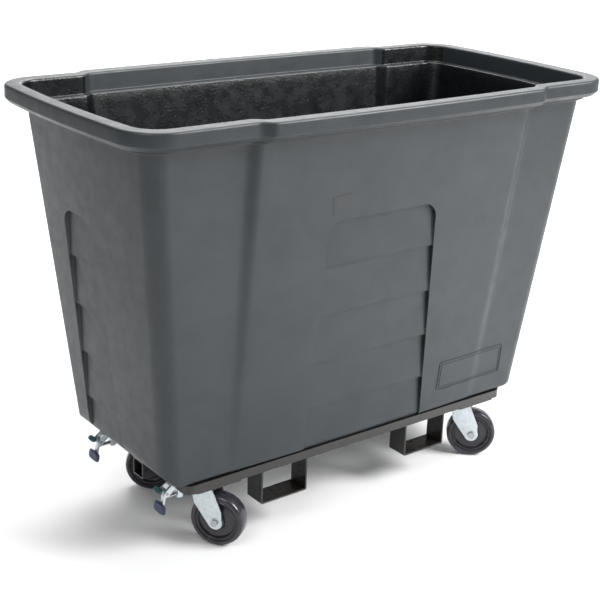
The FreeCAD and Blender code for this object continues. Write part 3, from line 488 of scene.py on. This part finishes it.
def outline(z, offset=0.0, recess=0.0):
    """Ring of points round the tub at height z, moved outwards by offset.

    recess scales the depth of the stepped recesses.  Every ring has the same number of points.
    """
    sizes = level(z)
    half_length, half_width = sizes["a"] + offset, sizes["b"] + offset
    corner = max(sizes["corner"] + offset, 2 * MM)
    bow = sizes["end_bow"]
    end_radius = (half_width ** 2 + bow ** 2) / (2 * bow)
    end_centre = half_length + bow - end_radius
    corner_y = half_width - corner
    corner_x = end_centre + math.sqrt((end_radius - corner) ** 2 - corner_y ** 2)
    turn = math.atan2(corner_y, corner_x - end_centre)
    reach_y = end_radius * math.sin(turn)
    depth = recess_depth(z) * recess
    out = half_width + sizes["step"]
    ring = []

    def cut(distance_in):
        """Share of the full depth at a distance inside the recess's edge."""
        return depth * smooth(distance_in / RECESS_SIDE)

    def end_side(flip):
        """Points of one end; flip is -1 at the left end."""
        left, right = (recess_reach(END_RECESS, z, side) for side in (-1, 1))
        points = []
        for s in side_columns(-reach_y, reach_y, left, right):
            x = end_centre + math.sqrt(end_radius ** 2 - s ** 2) - cut(min(s + left, right - s))
            points.append((flip * x, -flip * s))
        ring.extend(reversed(points))

    def corner_run(flip_x, flip_y, from_end):
        xs, ys = arc_points((corner_x, corner_y), corner, turn, math.pi / 2, 22)
        points = [(flip_x * x, flip_y * y) for x, y in zip(xs, ys)][1:]
        panel = sizes[flip_x, flip_y]
        points += [(flip_x * x, flip_y * half_width)
                   for x in np.linspace(corner_x, panel + PANEL_RUN, 9)[1:]]
        slope = 2 * sizes["side_bow"] / panel * PANEL_RUN
        poles = np.array([(panel + PANEL_RUN, half_width), (panel, half_width), (panel, out - slope),
                          (panel - PANEL_RUN, out)])
        for t in np.linspace(0, 1, 11)[1:]:
            x, y = ((1 - t) ** 3 * poles[0] + 3 * t * (1 - t) ** 2 * poles[1]
                    + 3 * t * t * (1 - t) * poles[2] + t ** 3 * poles[3])
            points.append((flip_x * x, flip_y * y))
        ring.extend(points if from_end else points[::-1])

    def long_side(flip):
        """Points of one middle panel; flip is -1 on the near side."""
        left_end = sizes[flip * 1, flip] - PANEL_RUN
        right_end = sizes[flip * -1, flip] - PANEL_RUN
        # seen from outside: its left is at -X on the near side and at +X on the far side
        bow = sizes["side_bow"]
        mid, span = (right_end - left_end) / 2, (right_end + left_end) / 2
        radius = (span ** 2 + bow ** 2) / (2 * bow)
        left, right = (recess_reach(SIDE_RECESS, z, side) for side in (-1, 1))
        for s in side_columns(-left_end, right_end, left, right)[1:-1]:
            inside = min(s + left, right - s)
            y = out + bow - radius + math.sqrt(radius ** 2 - (s - mid) ** 2) - cut(inside)
            ring.append((-flip * s, flip * y))

    long_side(-1)
    corner_run(1, -1, False)
    end_side(1)
    corner_run(1, 1, True)
    long_side(1)
    corner_run(-1, 1, False)
    end_side(-1)
    corner_run(-1, -1, True)
    return np.array(ring)


def wall_heights():
    """Heights of the wall's rows, dense at the recess's steps."""
    rows = {RECESS_TOP + 12 * MM, RECESS_TOP + 3 * MM, RECESS_TOP}
    rows.update(RECESS_TOP - d * MM for d in (1.5, 3, 5, 9, 14, 20, 26, 32, 38, 44))
    for step in RECESS_STEPS:
        rows.update(step + d * MM for d in (20, 6, 1.5, 0.01, -0.8, -1.6, -2.5, -6, -20))
    rows.update(np.arange(RAIL_TOP + 22 * MM, RAIL_TOP + LEFT_FOOT_ROUND + 4 * MM, 7 * MM))
    rows.update(np.arange(RAIL_TOP + LEFT_FOOT_ROUND + 16 * MM, RIM_FLOOR - 20 * MM, 24 * MM))
    ordered = sorted(rows)
    return [z for z, after in zip(ordered, ordered[1:] + [9]) if after - z > 0.5 * MM or z in RECESS_STEPS]


def left_foot_limit(z, inset):
    """Least X that the left end's large foot round leaves at height z, on a skin inset from the outer one."""
    centre_x, centre_z = LEFT_FOOT_CENTRE
    if z >= centre_z:
        return -math.inf
    radius = LEFT_FOOT_ROUND - inset
    drop = min(centre_z - z, radius)
    return centre_x - math.sqrt(radius ** 2 - drop ** 2)


def ring_at(z, offset, recess, inset=0.0):
    """Ring of vertices at height z; above the rim's floor the wall line no longer spreads."""
    flat = outline(min(z, RIM_FLOOR), offset, recess)
    flat[:, 0] = np.maximum(flat[:, 0], left_foot_limit(z, inset))
    return np.column_stack([flat, np.full(len(flat), z)])


def floor_rings(ring, z):
    """Rings that close a floor towards the tub's middle line."""
    inset = np.column_stack([np.clip(ring[:, 0], -0.40, 0.40), np.zeros(len(ring)), np.full(len(ring), z)])
    return [ring * (1 - t) + inset * t for t in (0.03, 0.12, 0.4, 0.7, 1.0)]


def rim_section():
    """Section of the rim as (distance outside the wall line, height), from the outer wall inwards."""
    face_foot = HEIGHT - RIM_FACE
    lip_foot = face_foot - RIM_LIP
    gutter_top = HEIGHT - RIM_CROWN
    corners = [
        (0, RIM_FLOOR - 24 * MM, 0),
        (0, RIM_FLOOR - WALL, 5 * MM),
        (RIM_IN + WALL, RIM_FLOOR - WALL, 3 * MM),
        (RIM_IN + WALL, gutter_top, 6 * MM),
        (RIM_OUT - WALL, gutter_top, 6 * MM),
        (RIM_OUT - WALL, face_foot + 2 * MM, 4 * MM),
        (RIM_OUT - 17 * MM, lip_foot + 2 * MM, 1.2 * MM),
        (RIM_OUT - 12 * MM, lip_foot - 1 * MM, 1.2 * MM),
        (RIM_OUT, face_foot, 3.5 * MM),
        (RIM_OUT - 0.6 * MM, HEIGHT, 7 * MM),
        (RIM_IN, HEIGHT, 8 * MM),
        (RIM_IN - 1 * MM, RIM_FLOOR, 3 * MM),
        (-WALL, RIM_FLOOR, 5 * MM),
        (-WALL, RIM_FLOOR - 26 * MM, 0)]
    path = rounded_path([(x, z, 0) for x, z, _ in corners], [radius for _, _, radius in corners])
    return [(x, z) for x, z, _ in path]


def outer_rings():
    """Underside, rounded foot and outer wall, from the middle of the underside upwards."""
    base = ring_at(RAIL_TOP, -FOOT_ROUND, 0.0)
    rings = floor_rings(base, RAIL_TOP)[::-1] + [base]
    for k in range(1, 7):
        angle = math.pi / 2 * k / 6
        rings.append(ring_at(RAIL_TOP + FOOT_ROUND * (1 - math.cos(angle)),
                             -FOOT_ROUND * (1 - math.sin(angle)), smooth(k / 4)))
    return rings + [ring_at(z, 0.0, 1.0) for z in wall_heights()]


def inner_rings():
    """Inner wall, rounded foot and floor, from the rim downwards."""
    floor_z = RAIL_TOP + WALL
    rings = [ring_at(z, -WALL, 1.0, WALL) for z in reversed(wall_heights())]
    for k in range(1, 7):
        angle = math.pi / 2 * k / 6
        rings.append(ring_at(floor_z + INNER_FOOT_ROUND * (1 - math.sin(angle)),
                             -WALL - INNER_FOOT_ROUND * (1 - math.cos(angle)), 1 - smooth(k / 4), WALL))
    return rings + floor_rings(rings[-1], floor_z)


def is_inner_skin(polygon):
    """True for the faces that look into the tub, apart from the rim's."""
    centre, normal = polygon.center, polygon.normal
    faces_in = normal.x * centre.x + normal.y * centre.y < 0
    is_floor = normal.z > 0.7 and centre.z < RIM_FLOOR + 2 * MM
    under_rim = centre.z > RIM_FLOOR - 9 * MM and normal.z < -0.7
    rim_channel = RIM_FLOOR - 6 * MM < centre.z < HEIGHT - 1 * MM and is_in_gutter(centre)
    return (faces_in or is_floor) and not under_rim and not rim_channel


def build_tub():
    """One closed shell: underside, outer wall, rolled rim, inner wall and floor."""
    rings = outer_rings() + [ring_at(z, offset, 0.0) for offset, z in rim_section()] + inner_rings()
    faces = grid_faces(len(rings), len(rings[0]))
    tub = mesh_object("tub_body", np.concatenate(rings), faces, sharp_angle=50)
    tub.data.materials.append(TUB_OUTSIDE)
    # the inside skin takes the darkened copy of the tub plastic: painted shade inside the tub
    tub.data.materials.append(TUB_INSIDE_PAINTED_SHADE)
    for polygon in tub.data.polygons:
        polygon.material_index = 1 if is_inner_skin(polygon) else 0
    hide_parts("tub_shell")
    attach(tub, "root")


def is_in_gutter(centre):
    """True beyond the outer face of the rim's inner band, where the rim's underside is."""
    sizes = level(RIM_FLOOR)
    beyond_y = abs(centre.y) > sizes["b"] + RIM_IN + 3 * MM
    beyond_x = abs(centre.x) > sizes["a"] + RIM_IN + 3 * MM
    return beyond_x or beyond_y


# positions on the near wall as (x, z)
NAMEPLATE = ((284 * MM, 287 * MM), (555 * MM, 384 * MM))
BORDER_GAP = 9 * MM
PATCH_CORNERS = tuple(Vector(point) * MM for point in ((-194, 923), (-144, 948), (-145, 976), (-202, 970)))
SUNK = 0.6 * MM


def near_wall_y(x, z):
    """Y of the near wall's outer skin."""
    ring = outline(z, 0.0, 1.0)
    face = ring[ring[:, 1] < -0.8 * level(z)["b"]]
    face = face[np.argsort(face[:, 0])]
    return float(np.interp(x, face[:, 0], face[:, 1]))


def raised_border(name, low, high, width, lift, corner):
    """Rounded rectangular ridge on the near wall, between two (x, z) corners."""
    (x0, z0), (x1, z1) = low, high
    path = []
    for cx, cz, start in ((x1 - corner, z0 + corner, -90), (x1 - corner, z1 - corner, 0),
                          (x0 + corner, z1 - corner, 90), (x0 + corner, z0 + corner, 180)):
        for step in range(7):
            angle = math.radians(start + 15 * step)
            path.append((cx, cz, math.cos(angle), math.sin(angle)))
    dense = []
    for here, after in zip(path, path[1:] + path[:1]):
        gap = math.hypot(after[0] - here[0], after[1] - here[1])
        steps = max(int(gap / (8 * MM)), 1)
        for k in range(steps):
            dense.append(tuple(a + (b - a) * k / steps for a, b in zip(here, after)))
    verts = []
    for cx, cz, nx, nz in dense:
        for across, out in ((0, -SUNK), (0.9 * MM, lift), (width - 0.9 * MM, lift), (width, -SUNK)):
            x, z = cx + nx * (corner - across), cz + nz * (corner - across)
            verts.append((x, near_wall_y(x, z) - out, z))
    return mesh_object(name, verts, grid_faces(len(dense), 4, True, True), sharp_angle=50)


def wall_patch(name, corners, lift, steps=8):
    """Thin four-sided plate laid on the near wall; corners are (x, z), anticlockwise from the lower left."""
    foot_left, foot_right, head_right, head_left = (Vector(corner) for corner in corners)
    verts = []
    for out in (lift, -SUNK):
        for i in range(steps + 1):
            for j in range(steps + 1):
                foot = foot_left.lerp(foot_right, j / steps)
                x, z = foot.lerp(head_left.lerp(head_right, j / steps), i / steps)
                verts.append((x, near_wall_y(x, z) - out, z))
    side = steps + 1
    count = side ** 2
    faces = grid_faces(side, side, False, False)
    faces += [tuple(count + v for v in quad) for quad in faces]
    edge = (list(range(side)) + [(i + 1) * side - 1 for i in range(1, side)]
            + [count - 1 - j for j in range(1, side)] + [(steps - i) * side for i in range(1, steps)])
    faces += [(a, b, count + b, count + a) for a, b in zip(edge, edge[1:] + edge[:1])]
    return mesh_object(name, verts, faces, sharp_angle=50)


def build_nameplate():
    """Blank maker's panel with a double border, and a smooth slanted patch near the rim."""
    low, high = NAMEPLATE
    outer = raised_border("nameplate_outer", low, high, 4.5 * MM, 1.8 * MM, 9 * MM)
    inner = raised_border("nameplate_inner", (low[0] + BORDER_GAP, low[1] + BORDER_GAP),
                          (high[0] - BORDER_GAP, high[1] - BORDER_GAP), 2.6 * MM, 1.2 * MM, 5 * MM)
    border = joined("nameplate_border", [outer, inner])
    border.data.materials.append(TUB_OUTSIDE)
    patch = wall_patch("wall_patch", PATCH_CORNERS, 0.7 * MM)
    patch.data.materials.append(TUB_PATCH)
    for obj in (border, patch):
        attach(obj, "root")


# ---------------------------------------------------------------- casters
CORNERS = ("near_left", "near_right", "far_left", "far_right")
WHEEL_RADIUS = 76.2 * MM
FORK_GAP = 57 * MM
FORK_PLATE = 5 * MM
FORK_TOP = 176 * MM
FORK_BACK = 29 * MM
FORK_FRONT = 31 * MM
TRAIL = 40 * MM


def swivel_matrix(corner):
    """From a caster's own frame, pivot at its origin and trail along +X, to the row's frame."""
    pivot = Vector(JOINTS[f"swivel_{corner}"]["pos_m"])
    axle = Vector(JOINTS[f"roll_{corner}"]["pos_m"])
    angle = math.atan2(axle.y - pivot.y, axle.x - pivot.x)
    return Matrix.Translation((pivot.x, pivot.y, 0)) @ Matrix.Rotation(angle, 4, "Z")


def build_wheel(corner):
    """Moulded wheel: rounded tread band, stepped rim rings, dished web and a long hub."""
    half, hub = 25.4 * MM, 27.2 * MM
    r = WHEEL_RADIUS
    side = [(15.1 * MM, hub), (22.0 * MM, hub), (24.2 * MM, hub - 1.2 * MM), (25.2 * MM, hub - 8 * MM),
            (29 * MM, half - 9.5 * MM), (44 * MM, half - 11.5 * MM), (50 * MM, half - 10.5 * MM),
            (53.5 * MM, half - 3.0 * MM), (56.5 * MM, half - 2.2 * MM), (58.5 * MM, half - 4.6 * MM),
            (61.0 * MM, half - 4.6 * MM), (62.6 * MM, half - 0.6 * MM), (68.5 * MM, half - 0.3 * MM),
            (r - 2.2 * MM, half - 4.2 * MM), (r, half - 11 * MM)]
    radii = [0, 0, 1, 1.5, 3, 8, 3, 1.6, 1.0, 1.0, 1.0, 1.2, 5, 5, 0]
    path = rounded_path([(x, y, 0) for x, y in side], [v * MM for v in radii], 3)
    profile = [(x, y) for x, y, _ in path] + [(x, -y) for x, y, _ in reversed(path)]
    body = lathe(f"wheel_body_{corner}", profile, 112)
    body.data.materials.append(WHEEL)
    place(body, swivel_matrix(corner) @ Matrix.Translation((TRAIL, 0, WHEEL_RADIUS)))
    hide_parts(f"wheel_{corner}")
    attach(body, f"rolling_{corner}")


def fork_leg_outline():
    """Side view of a pressed leg: wide at the top plate and round at the axle."""
    end, axle_z = 21 * MM, WHEEL_RADIUS
    points = [(-FORK_BACK, FORK_TOP - 4 * MM), (-27 * MM, FORK_TOP - 24 * MM), (-20 * MM, 125 * MM)]
    for angle in np.linspace(math.radians(214), math.radians(388), 24):
        points.append((TRAIL + end * math.cos(angle), axle_z + end * math.sin(angle)))
    points += [(58 * MM, 108 * MM), (45 * MM, 140 * MM), (FORK_FRONT, FORK_TOP - 4 * MM)]
    return points


def build_fork(corner):
    """Pressed fork: two bevelled legs, a top plate that carries a ball race, and a dust lip."""
    parts = []
    for side in (-1, 1):
        leg = plate(f"leg_{corner}_{side}", fork_leg_outline(), FORK_PLATE, 1.1 * MM,
                    [(TRAIL, WHEEL_RADIUS, 6.4 * MM)], 3)
        start = FORK_GAP / 2 if side > 0 else -FORK_GAP / 2 - FORK_PLATE
        parts.append(place(leg, Matrix.Translation((0, start, 0))))
    half = FORK_GAP / 2 + FORK_PLATE
    crown_outline = [(-FORK_BACK, -half), (FORK_FRONT, -half), (FORK_FRONT, half), (-FORK_BACK, half)]
    crown = plate(f"crown_{corner}", crown_outline, FORK_PLATE, 1.6 * MM, [(0, 0, 9.7 * MM)], 3)
    lay_flat = Matrix.Translation((0, 0, FORK_TOP)) @ Matrix.Rotation(math.radians(-90), 4, "X")
    parts.append(place(crown, lay_flat))
    race = rounded_path([(10 * MM, FORK_TOP - 5 * MM, 0), (43 * MM, FORK_TOP - 5 * MM, 0),
                         (43 * MM, FORK_TOP - 0.2 * MM, 0), (38 * MM, FORK_TOP + 0.5 * MM, 0),
                         (10 * MM, FORK_TOP + 0.5 * MM, 0)], [0, 2 * MM, 2 * MM, 1 * MM, 0], 4)
    parts.append(lathe(f"race_{corner}", [(x, z) for x, z, _ in race], 72, "z"))
    fork = joined(f"fork_body_{corner}", parts)
    fork.data.materials.clear()
    fork.data.materials.append(ZINC)
    place(fork, swivel_matrix(corner))
    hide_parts(f"fork_{corner}")
    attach(fork, f"swivel_{corner}")


# ---------------------------------------------------------------- foot pedals
def pad_body(name, size, dish, lean, centre):
    """Oval pad with a thick rounded edge and a dished tread face."""
    length, height, thick = size
    rows, columns = 9, 48
    squareness = 0.62
    verts = []
    for face in (1, -1):
        for i in range(rows):
            share = i / (rows - 1)
            for k in range(columns):
                angle = 2 * math.pi * k / columns
                c, s = math.cos(angle), math.sin(angle)
                y = length / 2 * math.copysign(abs(c) ** squareness, c) * share
                z = height / 2 * math.copysign(abs(s) ** squareness, s) * share
                edge = math.sqrt(max(1 - share ** 6, 0)) * thick / 2
                verts.append((face * edge + dish * (share ** 2 - 0.5) * (y / length) ** 2 * 4, y, z))
    faces = []
    for face in (0, 1):
        start = face * rows * columns
        faces += [tuple(start + v for v in quad) for quad in grid_faces(rows, columns)]
    rim_a, rim_b = (rows - 1) * columns, (2 * rows - 1) * columns
    for k in range(columns):
        after = (k + 1) % columns
        faces.append((rim_a + k, rim_a + after, rim_b + after, rim_b + k))
    pad = mesh_object(name, verts, faces)
    return place(pad, Matrix.Translation(centre) @ Matrix.Rotation(math.radians(lean), 4, "Y"))


# pads: size, dish, lean in degrees, centre from the pedal's pin, finish
PADS = {
    "foot_pad": ((58 * MM, 30 * MM, 9 * MM), 2 * MM, 8.8, Vector((-15.2 * MM, 0, -42 * MM)), NAVY),
    "release_pad": ((36 * MM, 16 * MM, 8 * MM), 3 * MM, 48.0, Vector((-19.9 * MM, 0, 12.5 * MM)), TEAL)}


def build_pads(side):
    pin = Vector(JOINTS[f"pedal_{side}"]["pos_m"])
    for kind, (size, dish, lean, offset, finish) in PADS.items():
        pad = pad_body(f"{kind}_body_{side}", size, dish, lean, pin + offset)
        pad.data.materials.append(finish)
        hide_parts(f"{kind}_{side}")
        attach(pad, f"pedal_{side}")


# ---------------------------------------------------------------- finishes of the CAD nodes that stay
def finish_cad_nodes():
    slots = {"base_paint": BASE_PAINT, "zinc_plate": ZINC, "fastener_steel": STEEL,
             "foot_pad_plastic": NAVY, "release_pad_plastic": TEAL, "wheel_plastic": WHEEL,
             "tub_plastic": TUB_OUTSIDE}
    for row in frame["record"]["subparts"]:
        obj = NODES[row["node"]]
        obj.data.materials.clear()
        obj.data.materials.append(slots[row["material_slot"]])
        if obj.hide_render:
            continue
        bevel = obj.modifiers.new("softened_edges", "BEVEL")
        bevel.width = 1.6 * MM if row["material_slot"] == "base_paint" else 0.8 * MM
        bevel.segments = 3
        bevel.limit_method = "ANGLE"
        bevel.angle_limit = math.radians(40)


# ---------------------------------------------------------------- stage, light and camera
def build_stage():
    """Pale floor that curves up into a backdrop."""
    width, depth, height, sweep = 9.0, 7.0, 7.0, 3.0
    path = rounded_path([(-depth, 0, 0), (depth, 0, 0), (depth, height, 0)], [0, sweep, 0], 16)
    verts = [(x, y, z) for y, z, _ in path for x in (-width, width)]
    turn = Matrix.Rotation(-CAMERA_YAW, 4, "Z")
    floor = mesh_object("studio_floor", verts, grid_faces(len(path), 2, False, False))
    floor.data.materials.append(FLOOR)
    place(floor, turn)


CAMERA_YAW = 0.6658


def area_light(name, at, aim, size, energy):
    light = bpy.data.lights.new(name, "AREA")
    light.shape = "RECTANGLE"
    light.size, light.size_y = size
    light.energy = energy
    obj = bpy.data.objects.new(name, light)
    obj.location = at
    obj.rotation_euler = (Vector(aim) - Vector(at)).to_track_quat("-Z", "Y").to_euler()
    bpy.context.scene.collection.objects.link(obj)


def build_lights():
    world = bpy.data.worlds.new("studio")
    world.use_nodes = True
    world.node_tree.nodes["Background"].inputs["Color"].default_value = (1.0, 1.0, 1.0, 1)
    world.node_tree.nodes["Background"].inputs["Strength"].default_value = 0.32
    bpy.context.scene.world = world
    bpy.context.scene.view_settings.view_transform = "Standard"
    area_light("key", (2.7, -3.2, 3.3), (0.1, 0, 0.6), (2.2, 2.2), 360)
    area_light("floor_fill", (-2.6, -1.6, 3.0), (-1.1, -0.9, 0), (2.0, 2.0), 45)
    area_light("top", (0.3, 0.4, 4.4), (0, 0, 0.6), (2.6, 2.0), 100)
    area_light("backdrop", (2.6, 3.3, 5.2), (3.2, 4.1, 0), (5.0, 4.0), 460)


CAMERA_POSITION = (-2.1380, -2.6970, 1.8173)
CAMERA_PITCH = 0.3545
CAMERA_ROLL = 0.0390
LENS_MM = 75.0996
SHIFT = (-0.00761667, 0.00376667)


def build_camera():
    """Long-lens camera that looks down at the near left corner."""
    level_cos = math.cos(CAMERA_PITCH)
    ahead = Vector((math.sin(CAMERA_YAW) * level_cos, math.cos(CAMERA_YAW) * level_cos,
                    -math.sin(CAMERA_PITCH)))
    level_right = Vector((math.cos(CAMERA_YAW), -math.sin(CAMERA_YAW), 0))
    level_up = level_right.cross(ahead)
    right = math.cos(CAMERA_ROLL) * level_right + math.sin(CAMERA_ROLL) * level_up
    up = -math.sin(CAMERA_ROLL) * level_right + math.cos(CAMERA_ROLL) * level_up
    camera = bpy.data.cameras.new("camera")
    camera.sensor_width = 36
    camera.lens = LENS_MM
    camera.shift_x, camera.shift_y = SHIFT
    camera.clip_end = 60
    obj = bpy.data.objects.new("camera", camera)
    axes = Matrix((right, up, -ahead)).transposed()
    obj.matrix_world = Matrix.Translation(CAMERA_POSITION) @ axes.to_4x4()
    bpy.context.scene.collection.objects.link(obj)
    bpy.context.scene.camera = obj


build_camera()
build_tub()
build_nameplate()
for corner_name in CORNERS:
    build_wheel(corner_name)
    build_fork(corner_name)
for side_name in ("near", "far"):
    build_pads(side_name)
finish_cad_nodes()
build_stage()
build_lights()

bpy.context.view_layer.update()
